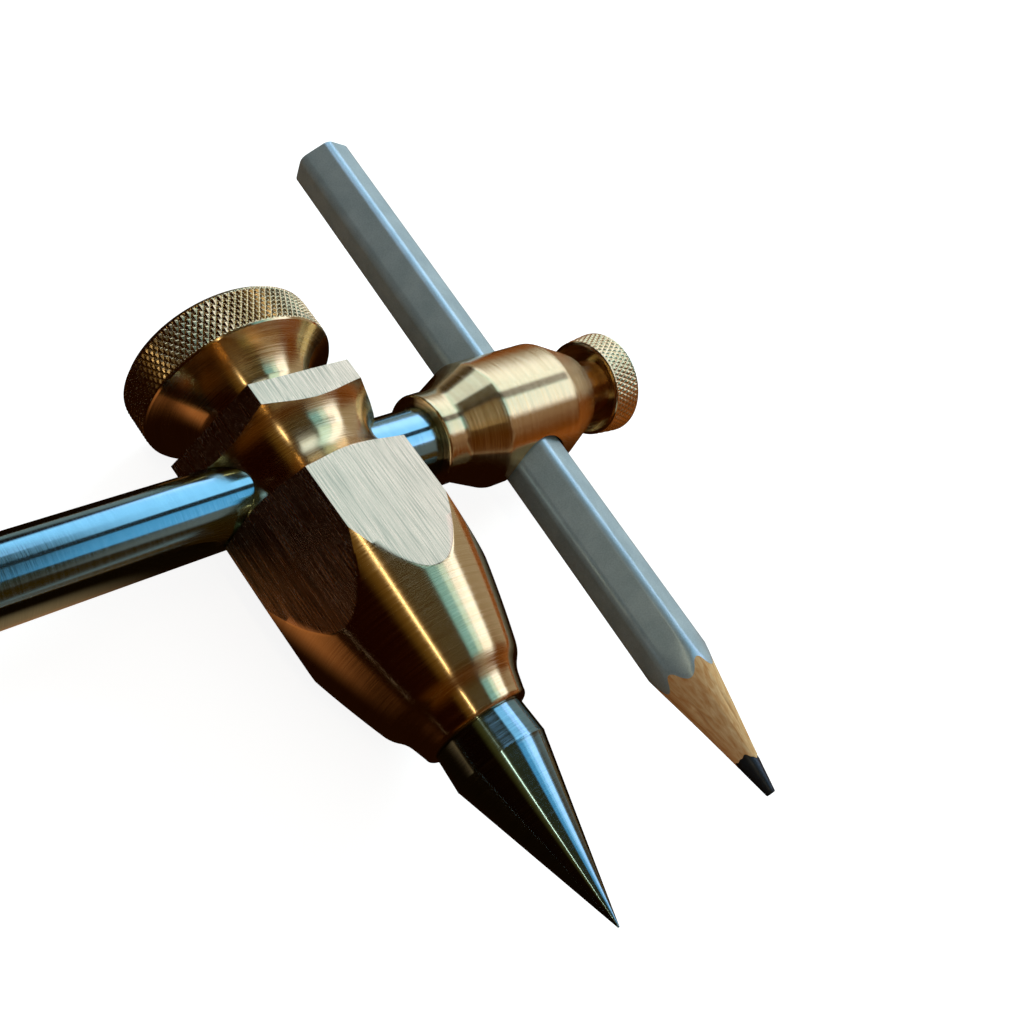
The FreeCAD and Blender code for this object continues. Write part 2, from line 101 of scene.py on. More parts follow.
def add_mesh(name, points, across, along, place, material, slots=None):
    """Join a (rows, columns, 3) grid of points in millimetres into quads and set it in place.

    across and along are the grain's u and v in millimetres at each point. slots is one material
    number for each quad, row by row, where the piece has more than one finish.
    """
    rows, columns = points.shape[:2]
    flat = points.reshape(-1, 3) @ place[:3, :3].T + place[:3, 3]
    index = np.arange(rows * columns).reshape(rows, columns)
    quads = np.stack([index[:-1, :-1], index[:-1, 1:], index[1:, 1:], index[1:, :-1]], axis=-1)
    quads = quads.reshape(-1, 4)
    mesh = bpy.data.meshes.new(name)
    mesh.from_pydata((flat * MM).tolist(), [], quads.tolist())
    grain = np.stack([across.ravel(), along.ravel()], axis=-1)[quads.ravel()] * MM
    mesh.uv_layers.new(name="grain").data.foreach_set("uv", grain.ravel())
    for one in material if isinstance(material, (list, tuple)) else [material]:
        mesh.materials.append(one)
    if slots is not None:
        mesh.polygons.foreach_set("material_index", np.asarray(slots, dtype=np.int32).ravel())
    merge_doubles(mesh)
    mesh.polygons.foreach_set("use_smooth", np.ones(len(mesh.polygons), dtype=bool))
    mesh.set_sharp_from_angle(angle=SHARP_EDGE)
    piece = bpy.data.objects.new(name, mesh)
    bpy.context.scene.collection.objects.link(piece)
    return piece


def faces_of(*pieces):
    """How many faces some pieces have between them."""
    return sum(len(piece.data.polygons) for piece in pieces)


def merge_doubles(mesh):
    """Close the seam and the poles of a grid: points in one place become one, faces with no area go."""
    work = bmesh.new()
    work.from_mesh(mesh)
    bmesh.ops.remove_doubles(work, verts=work.verts, dist=SAME_PLACE)
    bmesh.ops.dissolve_degenerate(work, edges=work.edges, dist=NO_LENGTH)
    work.to_mesh(mesh)
    work.free()


# %% [markdown]
# A turned piece comes from a profile of (radius, height) points. Profiles are put together from short
# arcs and straight runs, divided finely enough to shade evenly.
# %% Profiles


def profile_length(profile):
    """How far along a profile each of its points lies."""
    steps = np.linalg.norm(np.diff(profile, axis=0), axis=1)
    return np.concatenate([[0.0], np.cumsum(steps)])


def turned(name, profile, place, material, around=192, seam=0.0):
    """Turn a profile of (radius, height) about the piece's own axis.

    x = radius cos(angle), y = radius sin(angle), z = height, from the profile's foot to its top.
    """
    profile = np.asarray(profile, dtype=float)
    angle = seam + np.linspace(0.0, 2 * math.pi, around + 1)
    radius = profile[:, :1]
    points = np.stack([
        radius * np.cos(angle),
        radius * np.sin(angle),
        profile[:, 1:] * np.ones_like(angle),
    ], axis=-1)
    across = profile_length(profile)[:, None] * np.ones_like(angle)
    along = np.ones_like(radius) * (angle - seam) * profile[:, 0].max()
    return add_mesh(name, points, across, along, place, material)


def bow(start, end, radius, side, count=12):
    """Points of a short arc from start to end: side 1 bows to the left of the way, -1 to the right."""
    start = np.array(start, dtype=float)
    end = np.array(end, dtype=float)
    chord = end - start
    half = np.linalg.norm(chord) / 2
    left = np.array([-chord[1], chord[0]]) / (2 * half)
    centre = (start + end) / 2 - left * side * math.sqrt(radius ** 2 - half ** 2)
    first = math.atan2(*(start - centre)[::-1])
    last = math.atan2(*(end - centre)[::-1])
    turn = (last - first + math.pi) % (2 * math.pi) - math.pi
    angle = first + np.linspace(0.0, turn, count)
    return [tuple(centre + radius * np.array([math.cos(a), math.sin(a)])) for a in angle]


def run(*stops, step=0.5):
    """Straight runs through the stops, divided so that no stretch is longer than step."""
    points = [stops[0]]
    for start, end in zip(stops, stops[1:]):
        length = math.dist(start, end)
        count = max(1, math.ceil(length / step))
        for k in range(1, count + 1):
            t = k / count
            points.append((start[0] + (end[0] - start[0]) * t, start[1] + (end[1] - start[1]) * t))
    return points


print("a straight of 3 mm has", len(run((0.0, 0.0), (3.0, 0.0))), "points")

# %% [markdown]
# One function turns a hex colour, which is sRGB, into the linear numbers that Blender works in, and one
# adds a node with its settings and links.
# %% Colours and nodes


def linear(code):
    """An sRGB hex colour such as #c8a860 as linear red, green, blue and alpha."""
    values = [int(code[k:k + 2], 16) / 255 for k in (1, 3, 5)]
    return [v / 12.92 if v <= 0.04045 else ((v + 0.055) / 1.055) ** 2.4 for v in values] + [1.0]


def add_node(tree, kind, inputs=None, **settings):
    """Add a node, set its properties, and set or link its inputs by name or number."""
    node = tree.nodes.new(kind)
    for key, value in settings.items():
        setattr(node, key, value)
    for key, value in (inputs or {}).items():
        if isinstance(value, bpy.types.NodeSocket):
            tree.links.new(value, node.inputs[key])
        else:
            node.inputs[key].default_value = value
    return node


def new_material(name):
    """An empty node material and its output node."""
    material = bpy.data.materials.new(name)
    material.use_nodes = True
    material.node_tree.nodes.clear()
    output = add_node(material.node_tree, "ShaderNodeOutputMaterial")
    return material, material.node_tree, output


print("the hex colour #808080 is", round(linear("#808080")[0], 3), "in linear light")

# %% [markdown]
# The brass is free-cutting bar. Its turned faces keep fine rings from the lathe and its flats keep the
# straight lines of the belt that finished them. Both stretch a highlight square to the lines. The real
# lines are about 0.02 mm apart, too fine to show, so they are drawn 0.10 to 0.15 mm apart. Where a line
# is rougher the highlight is wider, and this gives the bright bands their ragged edges. The steels are
# tinted blue as in the photograph, a painted reflection of a cool window. A second set of lines, the bands,
# is broader and softer.
# %% Metals with tool marks
BAND_SPACING = 6.0
BAND_LENGTH = 2.0
SMOOTHEST = 0.75
ROUGHEST = 1.3


def tool_marked(name, light, dark, roughness, stretch, line_mm, length_mm, depth, banding=0.25):
    """A bare metal with tool marks: fine lines across the grain map's u, long along its v.

    The same lines drive the roughness, a slight change of tone and a bump of depth millimetres. stretch
    is how far a highlight spreads across them, and banding is the share of the bands in the tone.
    """
    material, tree, output = new_material(name)
    grain = add_node(tree, "ShaderNodeUVMap", uv_map="grain").outputs["UV"]

    def stretched_noise(spacing, length, detail):
        place = add_node(tree, "ShaderNodeMapping", {
            "Vector": grain,
            "Scale": (1 / (spacing * MM), 1 / (length * MM), 1.0),
        }).outputs["Vector"]
        noise = add_node(tree, "ShaderNodeTexNoise", {"Vector": place, "Scale": 1.0, "Detail": detail})
        return noise.outputs["Fac"]

    lines = stretched_noise(line_mm, length_mm, 4.0)
    bands = stretched_noise(line_mm * BAND_SPACING, length_mm * BAND_LENGTH, 2.0)
    both = add_node(tree, "ShaderNodeMix", {"Factor": banding, "A": lines, "B": bands},
                    data_type="FLOAT").outputs["Result"]
    rough = add_node(tree, "ShaderNodeMapRange", {
        "Value": lines, "From Min": 0.35, "From Max": 0.65,
        "To Min": roughness * SMOOTHEST, "To Max": roughness * ROUGHEST,
    }).outputs["Result"]
    tone = add_node(tree, "ShaderNodeMapRange", {
        "Value": both, "From Min": 0.36, "From Max": 0.64}).outputs["Result"]
    colour = add_node(tree, "ShaderNodeMix", {"Factor": tone, "A": linear(dark), "B": linear(light)},
                      data_type="RGBA").outputs["Result"]
    bump = add_node(tree, "ShaderNodeBump", {"Height": lines, "Strength": 1.0, "Distance": depth * MM})
    tangent = add_node(tree, "ShaderNodeTangent", direction_type="UV_MAP", uv_map="grain")
    shader = add_node(tree, "ShaderNodeBsdfPrincipled", {
        "Base Color": colour,
        "Metallic": 1.0,
        "Roughness": rough,
        "Anisotropic": stretch,
        "Normal": bump.outputs["Normal"],
        "Tangent": tangent.outputs["Tangent"],
    })
    tree.links.new(shader.outputs["BSDF"], output.inputs["Surface"])
    return material


turned_brass = tool_marked("turned_brass", "#f6d8a4", "#e0bc84", roughness=0.21, stretch=0.95,
                           line_mm=0.11, length_mm=9.0, depth=0.0016)
belted_brass = tool_marked("belted_brass", "#f0cca6", "#b29a7c", roughness=0.22, stretch=0.80,
                           line_mm=0.15, length_mm=6.0, depth=0.0016, banding=0.10)
knurled_brass = tool_marked("knurled_brass", "#f6d8a8", "#e4c288", roughness=0.24, stretch=0.0,
                            line_mm=0.12, length_mm=2.0, depth=0.0008)
# The steels' blue tint is painted reflection, not the metal's own colour.
ground_steel = tool_marked("ground_steel", "#96bbc5", "#88adb7", roughness=0.13, stretch=0.85,
                           line_mm=0.10, length_mm=6.0, depth=0.0005)
turned_steel = tool_marked("turned_steel", "#98bcc6", "#7ea2ac", roughness=0.17, stretch=0.95,
                           line_mm=0.10, length_mm=5.0, depth=0.0014)
metals = (turned_brass, belted_brass, knurled_brass, ground_steel, turned_steel)
print("bare metals:", [metal.name for metal in metals])

# %% [markdown]
# The pencil's skin is a metallic lacquer: flakes under a clear coat, with slow clouds from the brush.
# %% Lacquer
FLAKE_SIZE = 0.16
CLOUD_SIZE = 3.0


def flake_lacquer():
    """Silver lacquer: a half-metal base of fine flakes, slightly uneven, under a clear coat."""
    material, tree, output = new_material("silver_lacquer")
    place = add_node(tree, "ShaderNodeTexCoord").outputs["Object"]
    flakes = add_node(tree, "ShaderNodeTexNoise", {
        "Vector": place, "Scale": 1 / (FLAKE_SIZE * MM), "Detail": 2.0}).outputs["Fac"]
    cloud = add_node(tree, "ShaderNodeTexNoise", {
        "Vector": place, "Scale": 1 / (CLOUD_SIZE * MM), "Detail": 3.0}).outputs["Fac"]
    tone = add_node(tree, "ShaderNodeMath", {0: flakes, 1: cloud}, operation="ADD").outputs[0]
    tone = add_node(tree, "ShaderNodeMapRange", {
        "Value": tone, "From Min": 0.7, "From Max": 1.3}).outputs["Result"]
    colour = add_node(tree, "ShaderNodeMix", {
        "Factor": tone, "A": linear("#a9c2ca"), "B": linear("#c6dce2")}, data_type="RGBA").outputs["Result"]
    bump = add_node(tree, "ShaderNodeBump", {"Height": flakes, "Strength": 0.6, "Distance": 0.004 * MM})
    shader = add_node(tree, "ShaderNodeBsdfPrincipled", {
        "Base Color": colour,
        "Metallic": 0.35,
        "Roughness": 0.32,
        "Coat Weight": 0.5,
        "Coat Roughness": 0.16,
        "Normal": bump.outputs["Normal"],
    })
    tree.links.new(shader.outputs["BSDF"], output.inputs["Surface"])
    return material


# %% [markdown]
# The cut cone is bare cedar. Its rings run along the pencil, so the noise is stretched that way.
# %% Cedar
RING_WIDTH = 0.35
RING_LENGTH = 9.0


def cut_cedar():
    """Bare cedar: growth rings along the pencil, with darker pores, cut by the sharpener's blade."""
    material, tree, output = new_material("cut_cedar")
    place = add_node(tree, "ShaderNodeTexCoord").outputs["Object"]
    long_way = add_node(tree, "ShaderNodeMapping", {
        "Vector": place,
        "Scale": (1 / (RING_WIDTH * MM), 1 / (RING_LENGTH * MM), 1 / (RING_WIDTH * MM)),
    }).outputs["Vector"]
    rings = add_node(tree, "ShaderNodeTexNoise", {
        "Vector": long_way, "Scale": 1.0, "Detail": 5.0, "Distortion": 0.4}).outputs["Fac"]
    ramp = add_node(tree, "ShaderNodeValToRGB", {"Fac": rings})
    ramp.color_ramp.elements[0].position = 0.20
    ramp.color_ramp.elements[0].color = linear("#cc8234")
    ramp.color_ramp.elements[1].position = 0.75
    ramp.color_ramp.elements[1].color = linear("#fbdaa2")
    bump = add_node(tree, "ShaderNodeBump", {"Height": rings, "Strength": 0.6, "Distance": 0.025 * MM})
    shader = add_node(tree, "ShaderNodeBsdfPrincipled", {
        "Base Color": ramp.outputs["Color"],
        "Roughness": 0.62,
        "Specular IOR Level": 0.35,
        "Normal": bump.outputs["Normal"],
    })
    tree.links.new(shader.outputs["BSDF"], output.inputs["Surface"])
    return material


# %% [markdown]
# The lead is graphite, which is dark but shines a little where it was cut.
# %% Graphite
STREAK_WIDTH = 0.12
STREAK_LENGTH = 1.2


def cut_graphite():
    """Graphite: near black, faintly metallic, with streaks along the cut."""
    material, tree, output = new_material("cut_graphite")
    place = add_node(tree, "ShaderNodeTexCoord").outputs["Object"]
    streaks = add_node(tree, "ShaderNodeMapping", {
        "Vector": place,
        "Scale": (1 / (STREAK_WIDTH * MM), 1 / (STREAK_LENGTH * MM), 1 / (STREAK_WIDTH * MM)),
    }).outputs["Vector"]
    lines = add_node(tree, "ShaderNodeTexNoise", {
        "Vector": streaks, "Scale": 1.0, "Detail": 4.0}).outputs["Fac"]
    rough = add_node(tree, "ShaderNodeMapRange", {
        "Value": lines, "From Min": 0.3, "From Max": 0.7, "To Min": 0.28, "To Max": 0.5}).outputs["Result"]
    bump = add_node(tree, "ShaderNodeBump", {"Height": lines, "Strength": 0.8, "Distance": 0.02 * MM})
    shader = add_node(tree, "ShaderNodeBsdfPrincipled", {
        "Base Color": linear("#383c40"),
        "Metallic": 0.6,
        "Roughness": rough,
        "Normal": bump.outputs["Normal"],
    })
    tree.links.new(shader.outputs["BSDF"], output.inputs["Surface"])
    return material


silver_lacquer = flake_lacquer()
cedar = cut_cedar()
graphite = cut_graphite()
print("the pencil's materials:", silver_lacquer.name, cedar.name, graphite.name)

# %% [markdown]
# The head was turned from hexagonal bar. Its profile has a neck that holds the point, an ogive, a
# ring-shaped cove through which the beam passes, and a flange.
# %% The head's profile
HALF_FLAT = 10.0
BAR_CORNER = HALF_FLAT / math.cos(math.pi / 6)
TURNED_TO = 12.0
NECK_END = 21.55
FLANGE_TOP = BEAM_HEIGHT + 6.04
BOSS_TOP = BEAM_HEIGHT + 9.6
OGIVE_BOW = 130.0
SHOULDER_BOW = 3.5
COVE_RADIUS = 3.95
COVE_RING = 12.4
COVE_HEIGHT = BEAM_HEIGHT - 0.35


def head_profile():
    """The turned profile of the head from the neck's end up to the flange, as (radius, height).

    From the top of the ogive it lies past the bar's corners, so the flats and corners stay there.
    """
    neck_rim = (5.0, NECK_END)
    neck_foot = (5.6, NECK_END + 0.6)
    neck_top = (6.0, 23.5)
    shoulder = (6.9, 25.05)
    ogive_foot = (7.6, 26.25)
    ogive_top = (12.2, 44.5)
    rise = math.sqrt(COVE_RADIUS ** 2 - (COVE_RING - TURNED_TO) ** 2)
    cove_foot = (TURNED_TO, COVE_HEIGHT - rise)
    cove_top = (TURNED_TO, COVE_HEIGHT + rise)
    points = run((3.0, NECK_END), neck_rim)
    points += bow(neck_rim, neck_foot, 0.6, -1, 8)[1:]
    points += run(neck_foot, neck_top)[1:]
    points += bow(neck_top, shoulder, SHOULDER_BOW, 1, 8)[1:]
    points += bow(shoulder, ogive_foot, SHOULDER_BOW, -1, 8)[1:]
    points += bow(ogive_foot, ogive_top, OGIVE_BOW, -1, 70)[1:]
    points += run(ogive_top, cove_foot)[1:]
    points += bow(cove_foot, cove_top, COVE_RADIUS, 1, 64)[1:]
    points += run(cove_top, (TURNED_TO, FLANGE_TOP))[1:]
    return points


# %% [markdown]
# Where the turned profile is wider than a flat, the flat stays, so each flat ends in a rounded tongue on
# the ogive. The grid follows that line exactly: in each sixth of a turn some columns share out the flat
# and the rest share out the turned face beside it.
# %% The head's flats


def hexagonal(profile, flat_columns=12, turned_columns=12):
    """A turned profile cut by six flats: its points, grain and which quads lie on a flat.

    reach is half the flat's angle at each height: arccos(half flat / radius), from 0 to 30 degrees.
    On the flat the radius is half flat / cos(angle from its middle), and beside it the profile's own.
    """
    profile = np.asarray(profile, dtype=float)
    radius = profile[:, 0]
    ratio = np.clip(HALF_FLAT / np.maximum(radius, HALF_FLAT), math.cos(math.pi / 6), 1.0)
    reach = np.arccos(ratio)
    columns = []
    distances = []
    on_flat = []
    for face in range(6):
        middle = math.pi / 6 + face * math.pi / 3
        for t in np.linspace(-1.0, 1.0, flat_columns + 1)[:-1]:
            columns.append(middle + t * reach)
            distances.append(np.minimum(radius, HALF_FLAT / np.cos(t * reach)))
            on_flat.append(1)
        for t in np.linspace(0.0, 1.0, turned_columns + 1)[:-1]:
            columns.append(middle + reach + t * (math.pi / 3 - 2 * reach))
            distances.append(np.minimum(radius, BAR_CORNER))
            on_flat.append(0)
    angle = np.stack(columns + [columns[0] + 2 * math.pi], axis=1)
    distance = np.stack(distances + [distances[0]], axis=1)
    height = profile[:, 1:] * np.ones_like(angle)
    points = np.stack([distance * np.cos(angle), distance * np.sin(angle), height], axis=-1)
    across = profile_length(profile)[:, None] * np.ones_like(angle)
    along = angle * HALF_FLAT
    has_flats = reach[:-1, None] + reach[1:, None] > 1e-4
    is_flat = np.where(has_flats, np.array(on_flat), 0)
    return points, across, along, is_flat


def turn_flats_grain(piece):
    """Swap u and v on the flats, whose belt lines run along the head's axis and not round it."""
    uv = piece.data.uv_layers["grain"].data
    values = np.empty(len(uv) * 2)
    uv.foreach_get("uv", values)
    values = values.reshape(-1, 2)
    slot = np.empty(len(piece.data.polygons), dtype=np.int32)
    piece.data.polygons.foreach_get("material_index", slot)
    corners = np.empty(len(piece.data.polygons), dtype=np.int32)
    piece.data.polygons.foreach_get("loop_total", corners)
    on_flat = np.repeat(slot == 1, corners)
    values[on_flat] = values[on_flat][:, ::-1]
    uv.foreach_set("uv", values.ravel())


points, across, along, is_flat = hexagonal(head_profile())
head = add_mesh("head", points, across, along, HEAD, [turned_brass, belted_brass], is_flat)
turn_flats_grain(head)
print("head faces:", faces_of(head), "of which on flats:", int(is_flat.sum()))

# %% [markdown]
# The flange's top and the boss come from a second grid, whose rim follows the hexagon.
# %% The flange's top and the boss
BOSS_RADIUS = 4.7
STUD_BORE = 3.05
BORE_SHOWN = 3


def flange_top():
    """Rings from the hexagon's edge in to the boss, then up the boss and in to its bore."""
    angle = np.linspace(0.0, 2 * math.pi, 6 * 24 + 1)
    from_middle = (angle % (math.pi / 3)) - math.pi / 6
    edge = HALF_FLAT / np.cos(from_middle)
    circle = np.ones_like(angle)
    rings = [
        (edge, FLANGE_TOP),
        (edge * 0.66, FLANGE_TOP),
        (circle * BOSS_RADIUS, FLANGE_TOP),
        (circle * BOSS_RADIUS, BOSS_TOP),
        (circle * STUD_BORE, BOSS_TOP),
        (circle * STUD_BORE, BOSS_TOP - BORE_SHOWN),
    ]
    radii = np.stack([radius for radius, _ in rings])
    heights = np.stack([circle * height for _, height in rings])
    points = np.stack([radii * np.cos(angle), radii * np.sin(angle), heights], axis=-1)
    along = angle * np.ones_like(radii) * HALF_FLAT
    return add_mesh("head_top", points, radii, along, HEAD, turned_brass)


head_top = flange_top()
print("head_top faces:", faces_of(head_top))

# %% [markdown]
# A diamond knurl is rolled into the rim by two wheels with crossing teeth. Each tooth leaves a groove that
# climbs round the rim, and where the two sets cross they leave small pyramids.
# %% Knurled rims
KNURL_PERIOD = 1.15
EDGE_FADE = 0.25
EDGE_SINKS = 0.4


def knurled(name, low, high, low_radius, high_radius, count, depth, place, samples, rows_per_period):
    """A knurled rim between two heights.

    Each set of grooves is a triangle wave of (angle x count / 2 pi -+ height / period); the surface
    stands at the lower of the two waves, which leaves pyramids. At both edges it fades out to a plain
    ring that is sunk by a share of the knurl's depth.
    """
    around = count * samples
    rows = int(math.ceil((high - low) / KNURL_PERIOD * rows_per_period)) + 1
    height = np.linspace(low, high, rows)[:, None]
    angle = np.linspace(0.0, 2 * math.pi, around + 1)[None, :]
    turns = angle * count / (2 * math.pi)
    climb = (height - low) / KNURL_PERIOD

    def wave(phase):
        return 1.0 - 2.0 * np.abs((phase % 1.0) - 0.5)

    peak = np.minimum(wave(turns + climb), wave(turns - climb))
    peak = np.clip(peak * 1.15, 0.0, 0.95)
    inside = np.clip(np.minimum(height - low, high - height) / EDGE_FADE, 0.0, 1.0)
    base = low_radius + (high_radius - low_radius) * (height - low) / (high - low)
    radius = base - depth * (1.0 - peak) * inside - depth * EDGE_SINKS * (1.0 - inside)
    points = np.stack([
        radius * np.cos(angle),
        radius * np.sin(angle),
        height * np.ones_like(angle),
    ], axis=-1)
    across = height * np.ones_like(angle)
    along = angle * low_radius * np.ones_like(height)
    return add_mesh(name, points, across, along, place, knurled_brass)


KNOB_RADIUS = 10.75
KNOB_LOW = BEAM_HEIGHT + 12.45
KNOB_TOP = BEAM_HEIGHT + 17.5
RIM_FOOT = KNOB_LOW + 0.1
RIM_TOP = KNOB_TOP - 0.6
KNURL_DEPTH = 0.22
knob_rim = knurled("knob_rim", RIM_FOOT, RIM_TOP, KNOB_RADIUS, KNOB_RADIUS, 96, KNURL_DEPTH, HEAD,
                   samples=12, rows_per_period=18)
print("knob_rim faces:", faces_of(knob_rim))

# %% [markdown]
# Under the rim the knob narrows through a bevel and a bell to a skirt that covers the head's boss.
# %% The knob's underside and top
SKIRT_FOOT = FLANGE_TOP + 0.45
SKIRT_TOP = SKIRT_FOOT + 2.5
SKIRT_BORE = 5.1
SKIRT_RADIUS = 6.65
SKIRT_CHAMFER = 0.15
BELL_BOW = 6.0
knob_edge = KNOB_RADIUS - KNURL_DEPTH * EDGE_SINKS
bell_top = (9.3, BEAM_HEIGHT + 11.7)
under = run((SKIRT_BORE, BOSS_TOP + 0.85), (SKIRT_BORE, SKIRT_FOOT),
            (SKIRT_RADIUS - SKIRT_CHAMFER, SKIRT_FOOT), (SKIRT_RADIUS, SKIRT_FOOT + SKIRT_CHAMFER),
            (SKIRT_RADIUS, SKIRT_TOP))
under += bow((SKIRT_RADIUS, SKIRT_TOP), bell_top, BELL_BOW, 1, 24)[1:]
under += run(bell_top, (10.55, KNOB_LOW - 0.08))[1:]
under += [(knob_edge, RIM_FOOT)]
knob_bell = turned("knob_bell", under, HEAD, turned_brass)

TOP_RADIUS = 10.0
bevel_top = (10.15, KNOB_TOP - 0.06)
over = [(knob_edge, RIM_TOP), bevel_top]
over += bow(bevel_top, (TOP_RADIUS, KNOB_TOP), 0.2, -1, 4)[1:]
over += run((TOP_RADIUS, KNOB_TOP), (0.0, KNOB_TOP))[1:]
knob_cap = turned("knob_cap", over, HEAD, turned_brass)
print("knob faces:", faces_of(knob_rim, knob_bell, knob_cap))

# %% [markdown]
# The steel point is one turned piece: a short collar that widens to a sharp break, and a long cone.
# %% The steel point and the beam
COLLAR_TOP = NECK_END - 0.05
COLLAR_RADIUS = 4.72
blunt_tip = (0.09, 0.03)
cone_top = (4.84, 17.75)
collar_foot = (4.88, 18.0)
point_profile = [(0.0, 0.0), (0.05, 0.0), blunt_tip]
point_profile += run(blunt_tip, cone_top, step=0.4)[1:]
point_profile += bow(cone_top, collar_foot, 0.3, -1, 5)[1:]
point_profile += run(collar_foot, (COLLAR_RADIUS, COLLAR_TOP), step=0.4)[1:]
point_profile += run((COLLAR_RADIUS, COLLAR_TOP), (3.0, COLLAR_TOP))[1:]
steel_point = turned("point", point_profile, HEAD, turned_steel)

BEAM_RADIUS = 4.0
BEAM_FREE_END = -277.6
BEAM_HELD_END = 22.4
BEVEL = 0.6
GROOVE_RADIUS = 3.5
GROOVE = (19.3, 21.3)
end_radius = BEAM_RADIUS - BEVEL
beam_profile = [(0.0, BEAM_FREE_END), (end_radius, BEAM_FREE_END), (BEAM_RADIUS, BEAM_FREE_END + BEVEL)]
beam_profile += run(beam_profile[-1], (BEAM_RADIUS, GROOVE[0]), step=4.0)[1:]
beam_profile += [(GROOVE_RADIUS, GROOVE[0]), (GROOVE_RADIUS, GROOVE[1]), (BEAM_RADIUS, GROOVE[1])]
beam_profile += [(BEAM_RADIUS, BEAM_HELD_END - BEVEL), (end_radius, BEAM_HELD_END), (0.0, BEAM_HELD_END)]
beam = turned("beam", beam_profile, BEAM, ground_steel, around=128)
print("beam:", round(BEAM_HELD_END - BEAM_FREE_END, 1), "mm long")

# %% [markdown]
# The holder is a turned barrel with the pencil's bore across it. The bore is cut with a Boolean modifier,
# which is applied, so that the edge is a true curve of one cylinder through another.
# %% The pencil holder
BEAM_BORE = 4.05
BEAM_BORE_END = 22.6
COLLAR = 5.3
COLLAR_START = 15.2
COLLAR_ROUND = 0.3
CONE_START = 17.9
BARREL = 7.35
BARREL_START = 22.5
BARREL_END = 33.3
THUMB_BORE = 2.55
THUMB_BORE_END = 27.0
HOLDER_END = 38.3
collar_edge = (COLLAR - COLLAR_ROUND, COLLAR_START)
collar_side = (COLLAR, COLLAR_START + COLLAR_ROUND)
holder_profile = [(0.0, BEAM_BORE_END)]
holder_profile += run((BEAM_BORE, BEAM_BORE_END), (BEAM_BORE, COLLAR_START), collar_edge)
holder_profile += bow(collar_edge, collar_side, COLLAR_ROUND, -1, 6)[1:]
holder_profile += run(collar_side, (COLLAR, CONE_START), (BARREL - 0.05, BARREL_START - 0.2),
                      (BARREL, BARREL_START), (BARREL, BARREL_END), (BARREL - 0.06, BARREL_END + 0.2),
                      (5.2, HOLDER_END - 0.05), (5.05, HOLDER_END),
                      (THUMB_BORE, HOLDER_END), (THUMB_BORE, THUMB_BORE_END))[1:]
holder_profile += [(0.0, THUMB_BORE_END)]
holder = turned("holder", holder_profile, HOLDER, turned_brass, around=256, seam=math.pi / 2)


def drill(piece, radius, middle, direction, reach):
    """Cut a round hole through a piece, reach millimetres to both sides of a point along a direction."""
    side = np.cross(direction, [0.3, 0.5, 0.8])
    side = side / np.linalg.norm(side)
    place = placement(side, np.cross(direction, side), direction, middle - direction * reach)
    drill_profile = [(0.0, 0.0), (radius, 0.0), (radius, 2 * reach), (0.0, 2 * reach)]
    cutter = turned("cutter", drill_profile, place, turned_brass, around=96)
    boolean = piece.modifiers.new("bore", "BOOLEAN")
    boolean.operation = "DIFFERENCE"
    boolean.solver = "EXACT"
    boolean.object = cutter
    graph = bpy.context.evaluated_depsgraph_get()
    cut = bpy.data.meshes.new_from_object(piece.evaluated_get(graph))
    cut.name = piece.data.name
    piece.modifiers.clear()
    old = piece.data
    piece.data = cut
    bpy.data.meshes.remove(old)
    bpy.data.objects.remove(cutter)
    cut.set_sharp_from_angle(angle=SHARP_EDGE)


PENCIL_BORE = 4.0
along_beam = np.array([1.0, 0.0, 0.0])
drill(holder, PENCIL_BORE, beam_centre + along_beam * PENCIL_REACH, along_pencil, 12.0)
drill(head, BEAM_BORE, beam_centre, along_beam, 14.0)
print("faces once drilled: holder", faces_of(holder), "and head", faces_of(head))

# %% [markdown]
# The thumb screw has a flared knurled rim and a dished face towards the holder.
# %% The thumb screw
THUMB_DEPTH = 0.12
THUMB_FOOT = 41.7
THUMB_TOP = 45.1
THUMB_END = 45.6
THUMB_RADII = (5.97, 6.35)
THUMB_NECK = 3.3
THUMB_FLARE = 0.5
thumb_rim = knurled("thumb_rim", THUMB_FOOT, THUMB_TOP, *THUMB_RADII, 58, THUMB_DEPTH, HOLDER,
                    samples=12, rows_per_period=16)
sunk = THUMB_DEPTH * EDGE_SINKS
dish_bottom = (THUMB_NECK, 43.1)
dish_edge = (5.5, 41.6)
dish = run((2.48, 38.9), (THUMB_NECK, 38.9), dish_bottom)
dish += bow(dish_bottom, dish_edge, 4.0, 1, 14)[1:]
dish += [(5.8, 41.6), (THUMB_RADII[0] - sunk, THUMB_FOOT)]
thumb_dish = turned("thumb_dish", dish, HOLDER, turned_brass, around=160)
face_edge = (THUMB_RADII[1] - THUMB_FLARE, THUMB_END)
face = [(THUMB_RADII[1] - sunk, THUMB_TOP), face_edge]
face += run(face_edge, (0.0, THUMB_END))[1:]
thumb_face = turned("thumb_face", face, HOLDER, turned_brass, around=160)
print("thumb screw faces:", faces_of(thumb_rim, thumb_dish, thumb_face))

# %% [markdown]
# The pencil is six-sided with rounded edges. The sharpener's blade leaves shallow facets on the wood, a
# few deeper bites, and a chipped edge round the lead.
# %% The pencil's section and cuts
PENCIL_CORNER = math.radians(21.0)
PENCIL_LENGTH = 92.8
HALF_ACROSS = 3.45
PAINT = 0.10
LEAD_RADIUS = 1.2
CONE_FOOT = 3.7
CONE_SLOPE = (4.2 - LEAD_RADIUS) / (19.2 - CONE_FOOT)


